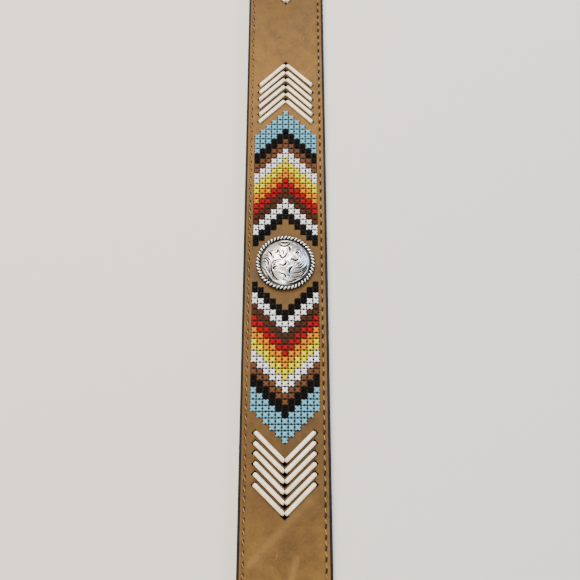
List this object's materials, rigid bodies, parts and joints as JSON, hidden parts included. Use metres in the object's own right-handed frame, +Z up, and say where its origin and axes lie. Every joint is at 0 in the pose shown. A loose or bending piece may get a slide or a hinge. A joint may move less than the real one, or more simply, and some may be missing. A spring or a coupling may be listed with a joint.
{
  "type": "western concho belt",
  "caption": "Tan leather strap with a plate buckle and a punched tip, dressed with domed roped discs, cross-stitched arrows and laced chevrons, laid out flat.",
  "frame": {"origin": "on the surface that the belt lies on, at the middle of its outline; the middle concho is at y = -34.3 mm", "axes": "+Z up out of the face; +Y along the strap from the buckle to the tip; +X across the strap, to the right when the tip points up"},
  "size_m": [0.05, 1.0948, 0.012],
  "materials": {
    "face_leather": "oiled pull-up leather, tan, with lighter scuffs, a dark stitched line along both edges and a rolled rim",
    "backing_leather": "black backing leather with a burnished edge",
    "buckle_metal": "plain plated plate, brushed along its length, with polished bevels",
    "concho_silver": "antiqued silver plate, polished where it stands proud and black in the cuts",
    "screw_steel": "plain plated steel",
    "stitch_thread": "thick waxed thread in bands of light blue, black, rust, white, yellow, orange, red and brown",
    "rawhide_lace": "flat off-white lace with rounded edges"
  },
  "bodies": {
    "root": {"strap_face": "face_leather", "strap_backing": "backing_leather", "buckle": "buckle_metal", "concho_1": "concho_silver", "concho_screw_1": "screw_steel", "stitched_arrow_1_tipward": "stitch_thread", "lacing_1_tipward": "rawhide_lace", "stitched_arrow_1_buckleward": "stitch_thread", "lacing_1_buckleward": "rawhide_lace", "concho_2": "concho_silver", "concho_screw_2": "screw_steel", "stitched_arrow_2_tipward": "stitch_thread", "lacing_2_tipward": "rawhide_lace", "stitched_arrow_2_buckleward": "stitch_thread", "lacing_2_buckleward": "rawhide_lace", "concho_3": "concho_silver", "concho_screw_3": "screw_steel", "stitched_arrow_3_tipward": "stitch_thread", "lacing_3_tipward": "rawhide_lace", "stitched_arrow_3_buckleward": "stitch_thread", "lacing_3_buckleward": "rawhide_lace"}
  },
  "joints": []
}
